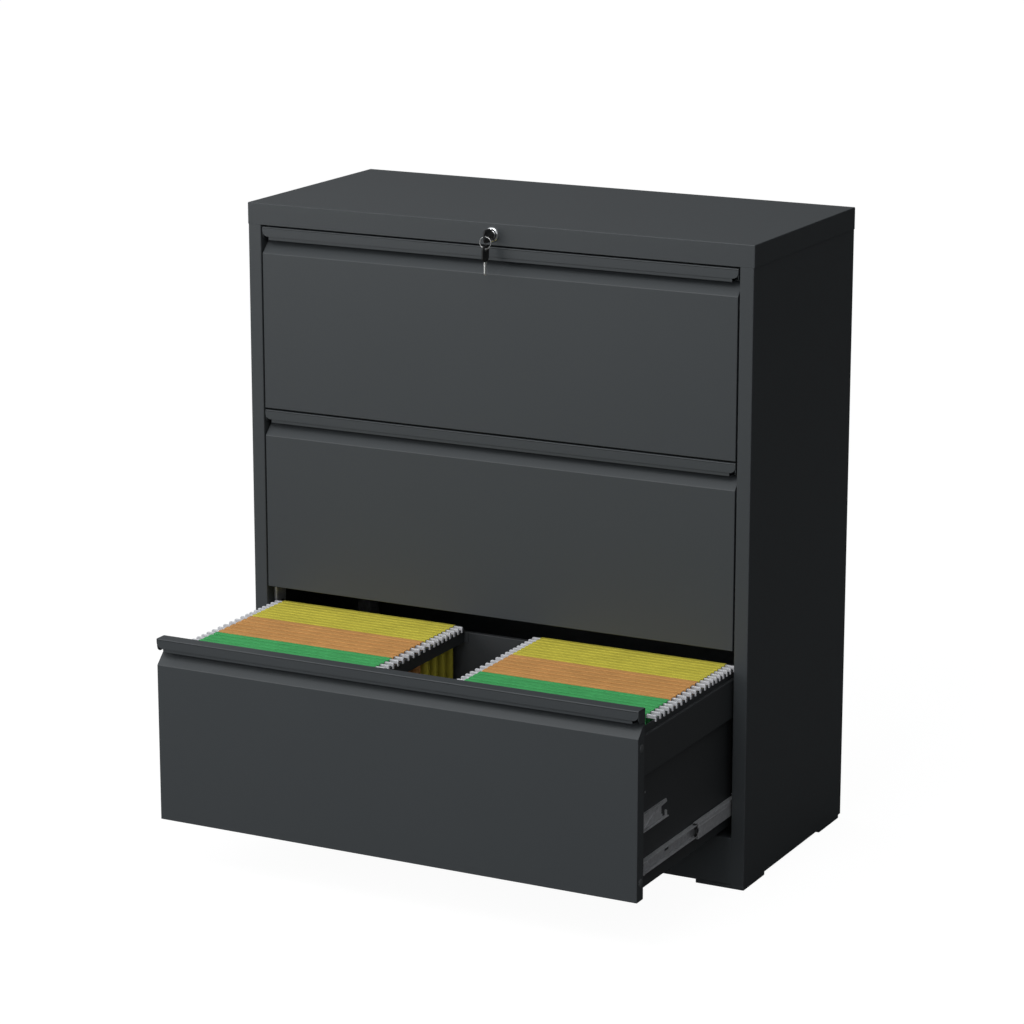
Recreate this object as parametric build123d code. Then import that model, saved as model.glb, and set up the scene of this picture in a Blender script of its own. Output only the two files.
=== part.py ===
from build123d import *
import os
from math import cos, radians, sin

# A three-drawer lateral filing cabinet in folded sheet steel, in millimetres. +X is the right-hand
# side, the drawers face -Y and +Z is up. The bottom drawer is drawn out and holds hanging folders.
# The origin is on the floor, under the middle of the cabinet and its open drawer.

# --- Driving dimensions: cabinet ---
WIDTH = 900.0  # across the top panel
DEPTH = 406.0  # front to back of the top panel
HEIGHT = 1038.0
SHEET = 1.0
CAP_DEPTH = 35.6  # how far the top panel is turned down all round
BASE_TOP = 85.0
GAP = 3.0  # above and below each drawer front
STILE = 23.5
STILE_RETURN = 22.0
FOOT_HEIGHT = 6.0
FOOT_LENGTH = 84.0
REAR_FOOT_INSET = 9.0

# --- Driving dimensions: drawers ---
DRAWER_NAMES = ["bottom", "middle", "top"]
PITCH = 304.8  # twelve inches from one drawer to the next
TRAVEL = 343.0
OPENED = {"bottom": TRAVEL, "middle": 0.0, "top": 0.0}
FRONT_HALF = 423.0
FRONT_DEPTH = 22.0
RIDGE = 258.3  # top of the flat drawer face
RECESS = 20.0  # finger recess, sloped at 45 degrees
LIP_HEIGHT = 15.8
LIP_HEM = 6.0
LIP_DEPTH = 23.5
LIP_ROUND = 10.0
FLOOR_LEVEL = 9.0
WEB_HALF = 411.5  # outside of the drawer side, where the slide is fixed
UPPER_HALF = 422.0  # outside of the drawer side above its joggle
JOGGLE = 187.0
SIDE_TOP = 257.0
RAIL_HALF = 417.5  # outside of the folder rail
RAIL_TOP = 270.0  # the edge that folders hang on
BODY_BACK = 370.0
BACK_TOP = 265.0
INNER_RAIL = 67.0
INNER_RAIL_HEIGHT = 22.0

# --- Driving dimensions: slides, lock, keys and folders ---
SLIDE_LEVEL = 45.0
SLIDE_START = 25.0
SLIDE_END = 375.0
MIDDLE_START = 52.0
SLIDE_THICK = 12.7
OUTER_HALF_HEIGHT = 17.5
MIDDLE_HALF_HEIGHT = 13.2
INNER_HALF_HEIGHT = 10.5
CATCH_LEVEL = 114.0
CATCH_HALF_HEIGHT = 14.25
CATCH_START = 30.0
CATCH_WEB_END = 106.0
CATCH_END = 127.0
CATCH_REACH = 5.0
PIN_RADIUS = 3.0
LOCK_TURN = 90.0
CAM_RADIUS = 8.0
LOCK_LEVEL = 1019.5
BEZEL_RADIUS = 12.0
HOUSING_RADIUS = 9.5
HOUSING_LENGTH = 18.0
PLUG_RADIUS = 6.5
FIT = 0.05  # radial running clearance
BOW_RADIUS = 12.5
BOW_HALF_THICK = 1.25
BOW_HOLE = 3.4
BOW_HOLE_OFFSET = 7.0
BLADE_HALF_THICK = 1.1
BLADE_HALF_WIDTH = 3.3
KEY_REACH = 20.0  # length of the blade in front of its bow
RING_RADIUS = 9.5
RING_WIRE = 0.5
FOLDER_RUNS = [(3, 30.0), (3, 35.2), (4, 27.0)]  # green, orange and yellow: how many, and their spacing
FOLDERS_START = 62.4
PAPER_START = 79.5
PAPER_END = 404.5
HOOK_START = 64.0
HOOK_END = 420.2
FOLDER_TOP = 277.0
FOLDER_BOTTOM = 42.0

# --- Places worked out from them ---
FACE = (TRAVEL - DEPTH) / 2  # plane of the top panel's front, the stiles and the closed drawer faces
BACK = FACE + DEPTH
HALF = WIDTH / 2
SIDE_FACE = HALF - SHEET
SIDE_INNER = SIDE_FACE - SHEET
OPENING_HALF = SIDE_FACE - STILE
RAIL_BOTTOM = HEIGHT - CAP_DEPTH
FRONT_HEIGHT = PITCH - GAP
FLOORS = {name: BASE_TOP + GAP + PITCH * i for i, name in enumerate(DRAWER_NAMES)}
CAM_THROW = 2 * CAM_RADIUS * sin(radians(LOCK_TURN / 2))
CAM_BACK = FACE + HOUSING_LENGTH + 2.5
KEY_HOLE_Y = FACE - 4.0 - BOW_RADIUS - BOW_HOLE_OFFSET
LOCK_BAR_X = 428.0
LOCK_BAR_Y = FACE + 117.0

os.makedirs("parts", exist_ok=True)


# --- Helpers ---
def block(x0, x1, y0, y1, z0, z1):
    """A box between two corners."""
    return Pos((x0 + x1) / 2, (y0 + y1) / 2, (z0 + z1) / 2) * Box(x1 - x0, y1 - y0, z1 - z0)


def folded(points, thickness=SHEET):
    """Outline of a folded sheet: a line of points, thickened to its right."""
    line = [Vector(*p) for p in points]
    runs = [(b - a).normalized() for a, b in zip(line, line[1:])]
    rights = [Vector(r.Y, -r.X) for r in runs]
    inner = [line[0] + rights[0] * thickness]
    for corner, one, two in zip(line[1:], rights, rights[1:]):
        inner.append(corner + (one + two) * (thickness / (1 + one.dot(two))))
    inner.append(line[-1] + rights[-1] * thickness)
    return [(v.X, v.Y) for v in line + inner[::-1]]


def outline(points):
    """A flat face inside a closed line of points."""
    return make_face(Polyline(*points, close=True))


def along_x(points, x0, x1):
    """A (Y, Z) outline pushed from x0 to x1."""
    return Pos(x0, 0, 0) * extrude(Plane.YZ * outline(points), amount=x1 - x0)


def along_y(points, y0, y1):
    """An (X, Z) outline pushed from y0 to y1."""
    return Pos(0, y1, 0) * extrude(Plane.XZ * outline(points), amount=y1 - y0)


def along_z(points, z0, z1):
    """An (X, Y) outline pushed from z0 to z1."""
    return Pos(0, 0, z0) * extrude(outline(points), amount=z1 - z0)


def rod_x(radius, x0, x1, y, z):
    """A round bar along X."""
    return Pos((x0 + x1) / 2, y, z) * Rot(0, 90, 0) * Cylinder(radius, x1 - x0)


def rod_y(radius, y0, y1, x, z):
    """A round bar along Y."""
    return Pos(x, (y0 + y1) / 2, z) * Rot(90, 0, 0) * Cylinder(radius, y1 - y0)


def mirrored(shape):
    """The same shape on the left-hand side."""
    return mirror(shape, about=Plane.YZ)


def group(shapes):
    """Separate solids kept together in one node."""
    return Compound(children=[s for shape in shapes for s in shape.solids()])


def save(name, shape):
    """Write one node."""
    export_step(shape, f"parts/{name}.step")


# --- Cabinet ---
def top_panel():
    """The top, turned down all round, with a hole for the lock in its front flange."""
    outer = block(-HALF, HALF, FACE, BACK, RAIL_BOTTOM, HEIGHT)
    inner = block(-SIDE_FACE, SIDE_FACE, FACE + SHEET, BACK - SHEET, RAIL_BOTTOM, HEIGHT - SHEET)
    hem = block(-OPENING_HALF, OPENING_HALF, FACE, FACE + 12, RAIL_BOTTOM, RAIL_BOTTOM + SHEET)
    return outer - inner + hem - rod_y(HOUSING_RADIUS + FIT, FACE - 1, FACE + 2, 0, LOCK_LEVEL)


def side_panel():
    """The right-hand side with its front stile and its rear return."""
    back = BACK - 2 * SHEET
    plan = folded([
        (OPENING_HALF + SHEET, FACE + STILE_RETURN), (OPENING_HALF + SHEET, FACE + SHEET),
        (SIDE_INNER, FACE + SHEET), (SIDE_INNER, back - SHEET), (SIDE_INNER - 15, back - SHEET),
    ])
    panel = along_z(plan, FOOT_HEIGHT, HEIGHT - 2 * SHEET)
    lock_room = block(OPENING_HALF - 1, SIDE_INNER, FACE - 1, FACE + STILE_RETURN + 1, RAIL_BOTTOM, HEIGHT)
    return panel - lock_room - block(SIDE_INNER - 1, SIDE_FACE, FACE - 1, FACE + SHEET, RAIL_BOTTOM, HEIGHT)


def back_panel():
    """The back sheet, behind the returns of the sides."""
    sheet = block(-SIDE_FACE, SIDE_FACE, BACK - 2 * SHEET, BACK - SHEET, FOOT_HEIGHT, HEIGHT - 2 * SHEET)
    return sheet


def base_rail():
    """The plinth below the bottom drawer, folded at its foot and its top."""
    profile = folded([(FACE + 15, FOOT_HEIGHT), (FACE, FOOT_HEIGHT), (FACE, BASE_TOP), (FACE + 20, BASE_TOP)])
    return along_x(profile, -OPENING_HALF, OPENING_HALF)


def floor_pan():
    """The bottom of the cabinet, under the bottom drawer."""
    top = BASE_TOP - SHEET
    rear = BACK - 3 * SHEET
    wide = block(-SIDE_INNER, SIDE_INNER, FACE + STILE_RETURN, rear, top - SHEET, top)
    narrow = block(-OPENING_HALF, OPENING_HALF, FACE + SHEET, FACE + STILE_RETURN, top - SHEET, top)
    turn_down = block(-SIDE_INNER, SIDE_INNER, rear - SHEET, rear, top - 30, top - SHEET)
    return wide + narrow + turn_down


def corner_feet():
    """Four shallow pressed feet, flush with the panels above them."""
    feet = []
    for y0, y1, wall in ((FACE, FACE + FOOT_LENGTH, "front"),
                         (BACK - REAR_FOOT_INSET - FOOT_LENGTH, BACK - REAR_FOOT_INSET, "rear")):
        x0 = SIDE_FACE - FOOT_LENGTH
        plate = block(x0, SIDE_FACE, y0, y1, 0, 1.5)
        plate += block(SIDE_INNER, SIDE_FACE, y0, y1, 0, FOOT_HEIGHT)
        if wall == "front":
            plate += block(x0, SIDE_FACE, y0, y0 + SHEET, 0, FOOT_HEIGHT)
        feet += [plate, mirrored(plate)]
    return group(feet)


def slide_posts():
    """Upright channels that carry the drawer slides."""
    posts = []
    mount = WEB_HALF + SLIDE_THICK
    top = RAIL_BOTTOM - 4
    for y in (FACE + 28, BACK - 62):
        plan = folded([(SIDE_INNER, y), (mount, y), (mount, y + 30), (SIDE_INNER, y + 30)])
        post = along_z(plan, BASE_TOP - SHEET, top)
        posts += [post, mirrored(post)]
    return group(posts)


def lock_bar_guides():
    """Two brackets that keep the lock bar upright."""
    guides = []
    for z in (470.0, 900.0):
        inner = LOCK_BAR_X + 2.0
        y0 = LOCK_BAR_Y - 8
        y1 = LOCK_BAR_Y + 8
        guide = block(inner, SIDE_INNER, y0, y1, z, z + 20)
        guide += block(LOCK_BAR_X - 2.5, inner, y0, y0 + 1.5, z, z + 20)
        guide += block(LOCK_BAR_X - 2.5, inner, y1 - 1.5, y1, z, z + 20)
        guides.append(guide)
    return group(guides)


def cabinet_screws():
    """Low round-head screws that hold the back sheet to the sides."""
    screws = []
    for x in (-(SIDE_FACE - 8), SIDE_FACE - 8):
        for i in range(6):
            z = 110 + i * 172
            screw = rod_y(4.0, BACK - SHEET, BACK - 0.2, x, z)
            screws.append(screw + rod_y(1.6, BACK - 6, BACK - SHEET, x, z))
    return group(screws)


# --- Drawers, modelled closed: y from the drawer face, z from the bottom of the drawer front ---
def drawer_front():
    """The front: flat face, sloped finger recess and box-shaped lip, with closed ends."""
    top = FRONT_HEIGHT
    lip_low = top - LIP_HEIGHT
    hem_low = lip_low - LIP_HEM
    profile = folded([
        (FRONT_DEPTH, 0), (0, 0), (0, RIDGE), (RECESS, RIDGE + RECESS), (RECESS, hem_low), (1.5, hem_low),
        (1.5, lip_low), (0, lip_low), (0, top), (LIP_DEPTH, top), (LIP_DEPTH, BACK_TOP + 6),
    ])
    inner_half = FRONT_HALF - SHEET
    shape = along_x(profile, -inner_half, inner_half)
    corner = inner_half - LIP_ROUND
    for side in (-1, 1):
        edge = side * (corner + LIP_ROUND / 2 + 1)
        cut = Pos(edge, 1, lip_low + LIP_ROUND / 2) * Box(LIP_ROUND + 2, 4, LIP_ROUND)
        cut -= rod_y(LIP_ROUND, -2, 4, side * corner, lip_low + LIP_ROUND)
        hem_end = Pos(edge, 1, lip_low - LIP_HEM / 2) * Box(LIP_ROUND + 2, 4, LIP_HEM)
        shape -= cut + hem_end
    cheek = [(0, 0), (FRONT_DEPTH, 0), (FRONT_DEPTH, hem_low), (RECESS, hem_low), (RECESS, RIDGE + RECESS),
             (0, RIDGE)]
    cap_edge = [Line((LIP_ROUND, hem_low), (LIP_DEPTH, hem_low)), Line((LIP_DEPTH, hem_low), (LIP_DEPTH, top)),
                Line((LIP_DEPTH, top), (0, top)), Line((0, top), (0, hem_low + LIP_ROUND)),
                RadiusArc((0, hem_low + LIP_ROUND), (LIP_ROUND, hem_low), -LIP_ROUND)]
    cap_face = make_face(Wire([edge.edge() for edge in cap_edge]))
    cap = extrude(Plane.YZ * cap_face, amount=SHEET)
    for x in (-FRONT_HALF, inner_half):
        shape += along_x(cheek, x, x + SHEET)
        shape += Pos(x, 0, 0) * cap
    return shape


def front_liner():
    """The flat inner sheet that closes the front from behind."""
    half = FRONT_HALF - SHEET
    return block(-half, half, FRONT_DEPTH - 0.5, FRONT_DEPTH + 0.5, SHEET, BACK_TOP + 11)


def drawer_side():
    """The right-hand side: foot flange, web, joggle, upper web and folder rail."""
    profile = folded([
        (WEB_HALF - 15, FLOOR_LEVEL - SHEET), (WEB_HALF, FLOOR_LEVEL - SHEET), (WEB_HALF, JOGGLE),
        (UPPER_HALF, JOGGLE + 7), (UPPER_HALF, SIDE_TOP), (RAIL_HALF, SIDE_TOP), (RAIL_HALF, RAIL_TOP),
    ], -SHEET)
    return along_y(profile, LIP_DEPTH, BODY_BACK)


def drawer_tray():
    """The drawer floor and its back, in one folded sheet."""
    half = WEB_HALF - SHEET - 0.1
    floor_sheet = block(-half, half, LIP_DEPTH, BODY_BACK + SHEET, FLOOR_LEVEL, FLOOR_LEVEL + SHEET)
    back = block(-half, half, BODY_BACK, BODY_BACK + SHEET, FLOOR_LEVEL + SHEET, BACK_TOP)
    wings = block(-UPPER_HALF, UPPER_HALF, BODY_BACK, BODY_BACK + SHEET, JOGGLE + 7, SIDE_TOP)
    hem = block(-half, half, BODY_BACK + SHEET, BODY_BACK + 8, BACK_TOP - SHEET, BACK_TOP)
    return floor_sheet + back + wings + hem


def hanging_bars():
    """Two strips from front to back that carry the folders' inner hooks."""
    bars = []
    for x in (-INNER_RAIL, INNER_RAIL):
        low = RAIL_TOP - INNER_RAIL_HEIGHT
        bar = block(x - 0.75, x + 0.75, LIP_DEPTH, BODY_BACK, low, RAIL_TOP - 6)
        bar += block(x - 0.75, x + 0.75, LIP_DEPTH + 6, BODY_BACK - 6, RAIL_TOP - 6, RAIL_TOP)
        bar += block(x - 8, x + 8, LIP_DEPTH, LIP_DEPTH + 1.5, low, RAIL_TOP - 6)
        bar += block(x - 8, x + 8, BODY_BACK - 1.5, BODY_BACK, low, RAIL_TOP - 6)
        bars.append(bar)
    return group(bars)


def lock_catch():
    """The fork on the right-hand side that the lock bar's pin drops into."""
    half = CATCH_HALF_HEIGHT
    pocket = CATCH_WEB_END + 4
    beak = CATCH_END - 6
    fork = [
        (CATCH_START, -half), (CATCH_END, -half), (CATCH_END, -6), (CATCH_END - 3, -4), (beak, -4), (beak, -12),
        (pocket, -12), (pocket, -6.5), (CATCH_WEB_END, -6.5), (CATCH_WEB_END, 6.5), (CATCH_END, 8.5),
        (CATCH_END - 3, half), (CATCH_START, half),
    ]
    plate = along_x(fork, WEB_HALF, WEB_HALF + 1.5)
    out = WEB_HALF + CATCH_REACH
    plate += block(WEB_HALF, out, CATCH_START, CATCH_WEB_END, half - 1.5, half)
    plate += block(WEB_HALF, out, CATCH_START, CATCH_END, -half, -half + 1.5)
    return Pos(0, 0, CATCH_LEVEL) * plate


def front_plugs():
    """Two round plugs in each end of the drawer front, over its fixing screws."""
    plugs = []
    for x0 in (FRONT_HALF, -FRONT_HALF - 1.2):
        for z in (29.0, 241.0):
            plugs.append(rod_x(6.5, x0, x0 + 1.2, FRONT_DEPTH / 2 + 1, z))
    return group(plugs)


# --- Slides: three nested channels on the right-hand side, in the drawer's own frame ---
def channel(web_x, lip_x, half_height, start, end, bead=2.0):
    """A channel along Y with its web at web_x, open towards lip_x, with beaded edges."""
    way = 1 if lip_x > web_x else -1
    thick = SHEET
    web = block(min(web_x, web_x + way * thick), max(web_x, web_x + way * thick), start, end,
                -half_height, half_height)
    shape = web
    for side in (-1, 1):
        edge = side * half_height
        inner = side * (half_height - thick)
        shape += block(min(web_x, lip_x), max(web_x, lip_x), start, end, min(edge, inner), max(edge, inner))
        turned = side * (half_height - bead)
        shape += block(min(lip_x, lip_x - way * thick), max(lip_x, lip_x - way * thick), start, end,
                       min(edge, turned), max(edge, turned))
    return Pos(0, 0, SLIDE_LEVEL) * shape


def slide_outer():
    """The fixed member, screwed to the posts."""
    return channel(WEB_HALF + SLIDE_THICK, WEB_HALF + 2.2, OUTER_HALF_HEIGHT, SLIDE_START, SLIDE_END)


def slide_middle():
    """The member that travels at half the drawer's speed."""
    return channel(WEB_HALF + SLIDE_THICK - 2.0, WEB_HALF + 1.8, MIDDLE_HALF_HEIGHT, MIDDLE_START, SLIDE_END, 1.6)


def slide_inner():
    """The member fixed to the drawer side."""
    return channel(WEB_HALF, WEB_HALF + 8.5, INNER_HALF_HEIGHT, SLIDE_START, SLIDE_END)


# --- Lock ---
def lock_housing():
    """The fixed barrel with its bezel in front of the top panel."""
    shape = rod_y(BEZEL_RADIUS, FACE - 3.5, FACE, 0, LOCK_LEVEL)
    shape += rod_y(HOUSING_RADIUS, FACE, FACE + HOUSING_LENGTH, 0, LOCK_LEVEL)
    return shape - rod_y(PLUG_RADIUS + FIT, FACE - 5, FACE + HOUSING_LENGTH + 1, 0, LOCK_LEVEL)


def lock_nut():
    """The hexagonal nut that holds the barrel from behind."""
    nut = extrude(Plane.XZ * RegularPolygon(radius=15, side_count=6), amount=4)
    nut = Pos(0, FACE + SHEET + 4, LOCK_LEVEL) * nut
    return nut - rod_y(HOUSING_RADIUS + FIT, FACE, FACE + 8, 0, LOCK_LEVEL)


def lock_plug():
    """The turning plug with its keyway and its tail."""
    shape = rod_y(PLUG_RADIUS, FACE - 3.2, FACE + HOUSING_LENGTH, 0, LOCK_LEVEL)
    shape += rod_y(3.5, FACE + HOUSING_LENGTH, CAM_BACK, 0, LOCK_LEVEL)
    keyway_half = BLADE_HALF_THICK + 0.15
    keyway_high = BLADE_HALF_WIDTH + 0.2
    return shape - block(-keyway_half, keyway_half, FACE - 5, FACE + 16.5,
                         LOCK_LEVEL - keyway_high, LOCK_LEVEL + keyway_high)


def cam_pin_place():
    """Centre of the cam's pin from the lock axis, at rest."""
    half_turn = radians(LOCK_TURN / 2)
    return -CAM_RADIUS * sin(half_turn), CAM_RADIUS * cos(half_turn)


def lock_cam():
    """The cam on the plug's tail, with the pin that drives the link bar."""
    dx, dz = cam_pin_place()
    y0 = CAM_BACK - 2.0
    disc = rod_y(6.0, y0, CAM_BACK, 0, LOCK_LEVEL) + rod_y(4.0, y0, CAM_BACK, dx, LOCK_LEVEL + dz)
    disc += rod_y(4.5, y0, CAM_BACK, dx / 2, LOCK_LEVEL + dz / 2)
    disc -= rod_y(3.5, y0 - 1, CAM_BACK + 1, 0, LOCK_LEVEL)
    return disc + rod_y(2.0, CAM_BACK, CAM_BACK + 4, dx, LOCK_LEVEL + dz)


def link_bar():
    """The bar behind the top rail: the cam pushes it sideways, and its slanted slot moves the lock bar."""
    y0 = CAM_BACK + 0.7
    y1 = y0 + 2.0
    rear = LOCK_BAR_Y - 12
    run = block(-18, 402, y0, y1, LOCK_LEVEL, LOCK_LEVEL + 14)
    arm = block(400, 402, y1, rear - 2, LOCK_LEVEL, LOCK_LEVEL + 14)
    plate = block(400, 434, rear - 2, rear, LOCK_LEVEL - 12, LOCK_LEVEL + 14)
    dx, dz = cam_pin_place()
    cam_slot = block(dx - 2.4, dx + 2.4, y0 - 1, y1 + 1, LOCK_LEVEL + dz - 2.6, LOCK_LEVEL + CAM_RADIUS + 2.6)
    slot = PIN_RADIUS + 0.35
    reach = CAM_THROW / sin(radians(LOCK_TURN / 2))
    cut = Pos(LOCK_BAR_X - CAM_THROW / 2, rear - 1, LOCK_LEVEL + 7 - CAM_THROW / 2)
    cut = cut * Rot(0, -45, 0) * Box(reach, 6, 2 * slot)
    ends = [rod_y(slot, rear - 4, rear + 2, LOCK_BAR_X - d, LOCK_LEVEL + 7 - d) for d in (0, CAM_THROW)]
    return run + arm + plate - cam_slot - cut - ends[0] - ends[1]


def lock_bar():
    """The upright bar with one pin for each drawer's catch."""
    low = FLOORS["bottom"] + CATCH_LEVEL - 12
    bar = block(LOCK_BAR_X - 1.5, LOCK_BAR_X + 1.5, LOCK_BAR_Y - 6, LOCK_BAR_Y + 6, low, LOCK_LEVEL + 12)
    bar += rod_y(PIN_RADIUS, LOCK_BAR_Y - 16, LOCK_BAR_Y + 6, LOCK_BAR_X, LOCK_LEVEL + 7)
    for name in DRAWER_NAMES:
        z = FLOORS[name] + CATCH_LEVEL + 4
        bar += rod_x(PIN_RADIUS, WEB_HALF + 0.6, LOCK_BAR_X - 1.5, LOCK_BAR_Y, z)
    return bar


def key_bow():
    """A round bow in the YZ plane, hole at its far end; the blade starts at the origin towards -Z."""
    bow = rod_x(BOW_RADIUS, -BOW_HALF_THICK, BOW_HALF_THICK, 0, BOW_RADIUS)
    return bow - rod_x(BOW_HOLE, -5, 5, 0, BOW_RADIUS + BOW_HOLE_OFFSET)


def key_blade():
    """A blade with a shank inside the bow and a pointed tip."""
    shoulder = -KEY_REACH + 3
    tip = [(-BLADE_HALF_WIDTH, 5), (-BLADE_HALF_WIDTH, shoulder), (-1, -KEY_REACH), (1, -KEY_REACH),
           (BLADE_HALF_WIDTH, shoulder), (BLADE_HALF_WIDTH, 5)]
    return along_x(tip, -BLADE_HALF_THICK, BLADE_HALF_THICK)


def key_ring():
    """The split ring, hanging in the XZ plane from the key in the lock."""
    centre = LOCK_LEVEL - 0.3 - RING_RADIUS
    return Pos(0, KEY_HOLE_Y, centre) * Rot(90, 0, 0) * Torus(RING_RADIUS, RING_WIRE)


# --- Folders ---
def folder(spacing):
    """One filled hanging folder: a wedge of card with two rods that end in hooks."""
    half_top = spacing / 2 - 1.5
    top = FOLDER_TOP
    shape = along_x([(-half_top, top - 8), (-3, FOLDER_BOTTOM), (3, FOLDER_BOTTOM), (half_top, top - 8),
                     (half_top, top), (-half_top, top)], PAPER_START, PAPER_END)
    for y in (-spacing / 4, spacing / 4):
        shape += block(HOOK_START, HOOK_END, y - 1.0, y + 1.0, RAIL_TOP + 0.5, top - 0.5)
        for x0 in (HOOK_START, HOOK_END - 2):
            shape += block(x0, x0 + 2, y - 1.0, y + 1.0, RAIL_TOP - 2.5, RAIL_TOP + 0.5)
    return shape


def folders():
    """A group of folders for the right-hand half of the drawer, front to back."""
    placed = []
    y = FOLDERS_START
    for count, spacing in FOLDER_RUNS:
        one = folder(spacing)
        for i in range(count):
            placed.append(Pos(0, y + spacing / 2, 0) * one)
            y += spacing
    return placed


# --- Put together ---
save("top_panel", top_panel())
save("side_panel_right", side_panel())
save("side_panel_left", mirrored(side_panel()))
save("back_panel", back_panel())
save("base_rail", base_rail())
save("floor_pan", floor_pan())
save("corner_feet", corner_feet())
save("slide_posts", slide_posts())
save("lock_bar_guides", lock_bar_guides())
save("cabinet_screws", cabinet_screws())

for drawer in DRAWER_NAMES:
    closed = Pos(0, FACE, FLOORS[drawer])
    placed = Pos(0, FACE - OPENED[drawer], FLOORS[drawer])
    halfway = Pos(0, FACE - OPENED[drawer] / 2, FLOORS[drawer])
    save(f"{drawer}_drawer_front", placed * drawer_front())
    save(f"{drawer}_drawer_liner", placed * front_liner())
    save(f"{drawer}_drawer_tray", placed * drawer_tray())
    save(f"{drawer}_drawer_side_right", placed * drawer_side())
    save(f"{drawer}_drawer_side_left", placed * mirrored(drawer_side()))
    save(f"{drawer}_hanging_bars", placed * hanging_bars())
    save(f"{drawer}_lock_catch", placed * lock_catch())
    save(f"{drawer}_front_plugs", placed * front_plugs())
    save(f"{drawer}_slide_inners", placed * group([slide_inner(), mirrored(slide_inner())]))
    save(f"{drawer}_slide_outers", closed * group([slide_outer(), mirrored(slide_outer())]))
    save(f"{drawer}_slide_middle_right", halfway * slide_middle())
    save(f"{drawer}_slide_middle_left", halfway * mirrored(slide_middle()))

save("lock_housing", lock_housing())
save("lock_nut", lock_nut())
save("lock_plug", lock_plug())
save("lock_cam", lock_cam())
save("link_bar", link_bar())
save("lock_bar", lock_bar())
in_lock = Pos(0, FACE - 4, LOCK_LEVEL) * Rot(90, 0, 0)
save("key_bow", in_lock * key_bow())
save("key_blade", in_lock * key_blade())
save("key_ring", key_ring())

in_drawer = Pos(0, FACE - OPENED["bottom"], FLOORS["bottom"])
save("folders_right", in_drawer * group(folders()))
save("folders_left", in_drawer * group([mirrored(f) for f in folders()]))
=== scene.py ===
"""The finished look of a three-drawer lateral filing cabinet.

Folded sheet steel, telescopic slides, a cam lock with its keys and two rows of hanging folders are built
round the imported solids. Shapes are worked out in millimetres, in the cabinet's own frame or in the frame
of a drawer (y from the drawer's face, z from the bottom of its front), and are laid down in metres.
"""

import logging
import math
import random
from dataclasses import dataclass
from enum import Enum
from typing import Iterable, Sequence

import bmesh
import bpy
from mathutils import Matrix, Vector


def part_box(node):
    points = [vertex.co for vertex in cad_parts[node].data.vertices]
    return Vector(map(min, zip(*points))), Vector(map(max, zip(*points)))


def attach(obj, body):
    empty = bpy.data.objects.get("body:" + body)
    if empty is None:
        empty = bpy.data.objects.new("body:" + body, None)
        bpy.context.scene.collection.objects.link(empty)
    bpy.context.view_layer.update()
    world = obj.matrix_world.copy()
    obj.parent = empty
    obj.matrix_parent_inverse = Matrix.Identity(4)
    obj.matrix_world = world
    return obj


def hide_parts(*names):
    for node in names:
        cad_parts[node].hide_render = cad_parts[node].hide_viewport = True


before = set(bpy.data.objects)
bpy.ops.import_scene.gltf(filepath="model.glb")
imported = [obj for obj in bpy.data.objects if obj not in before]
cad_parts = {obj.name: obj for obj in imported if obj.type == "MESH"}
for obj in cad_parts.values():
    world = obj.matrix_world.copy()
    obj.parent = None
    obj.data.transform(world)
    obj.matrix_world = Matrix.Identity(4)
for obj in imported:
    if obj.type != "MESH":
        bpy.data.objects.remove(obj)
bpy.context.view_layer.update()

LOG = logging.getLogger("cabinet")
MM = 0.001
SHARP_ANGLE = math.radians(40)
SOFTENED_ANGLE = math.radians(50)
SHEET = 1.0  # thickness of the folded steel

BMesh = bmesh.types.BMesh
Socket = bpy.types.NodeSocket
Point = tuple[float, float]
Colour = tuple[float, float, float]
Corner = tuple[float, float, float]


class Axis(Enum):
    """The direction that a section is pushed along."""

    X = 0
    Y = 1
    Z = 2

    def at(self, a: float, b: float, along: float) -> Vector:
        """A point, from its two section coordinates and its place along the axis."""
        coords = [a, b]
        coords.insert(self.value, along)
        return Vector(coords)

    def turn(self) -> Matrix:
        """The rotation that lays a shape standing on Z along this axis."""
        if self is Axis.X:
            return Matrix.Rotation(math.pi / 2, 3, "Y")
        if self is Axis.Y:
            return Matrix.Rotation(-math.pi / 2, 3, "X")
        return Matrix.Identity(3)


class Side(Enum):
    """The left-hand or right-hand side of the cabinet."""

    LEFT = -1
    RIGHT = 1

    @property
    def word(self) -> str:
        """The side's name in lower case."""
        return self.name.lower()


# --- Shapes ---


def new_verts(made: dict) -> list:
    """The vertices that a bmesh operator has made."""
    return [item for item in made["geom"] if isinstance(item, bmesh.types.BMVert)]


def round_off(
    shape: BMesh, geom: Sequence, radius: float, segments: int, affect: str = "EDGES", clamp: bool = False
) -> None:
    """Rounds edges, or vertices, of a shape.

    Args:
        shape: The shape.
        geom: Which of its edges or vertices to round.
        radius: How far the rounding reaches.
        segments: How many facets it has.
        affect: "EDGES" or "VERTICES".
        clamp: Whether to stop where two roundings would meet.
    """
    bmesh.ops.bevel(
        shape,
        geom=geom,
        offset=radius,
        segments=segments,
        profile=0.5,
        affect=affect,
        material=-1,
        clamp_overlap=clamp,
    )


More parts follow.
